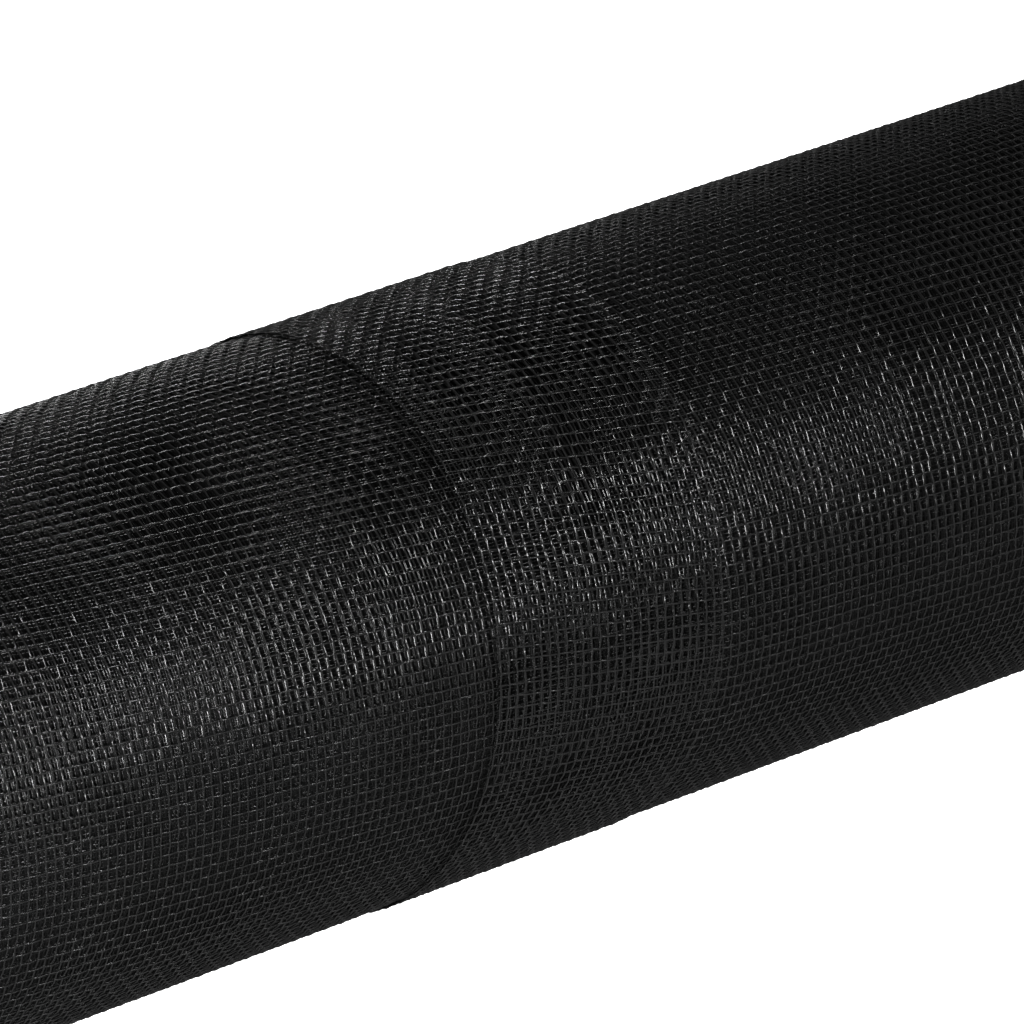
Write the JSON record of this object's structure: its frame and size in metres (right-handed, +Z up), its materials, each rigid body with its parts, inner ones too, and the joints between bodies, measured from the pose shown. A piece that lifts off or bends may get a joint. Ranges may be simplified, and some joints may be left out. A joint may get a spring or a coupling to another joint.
{
  "type": "insect screen mesh roll",
  "caption": "Short tight roll of black woven insect screen mesh, held by a slanted tie strip of the same mesh, lying on its side.",
  "frame": {"origin": "on the small flat that the roll rests on, under the middle of its length and width", "axes": "+X along the roll's axis, +Z up, -Y the side that the picture shows"},
  "size_m": [0.3, 0.0762, 0.0757],
  "materials": {
    "screen": "black vinyl-coated glass yarn, woven open, soft gloss",
    "tie": "black vinyl-coated glass yarn, woven open, soft gloss, cut edges"
  },
  "bodies": {
    "root": {"screen_roll": "screen", "tie_strip": "tie"}
  },
  "joints": []
}
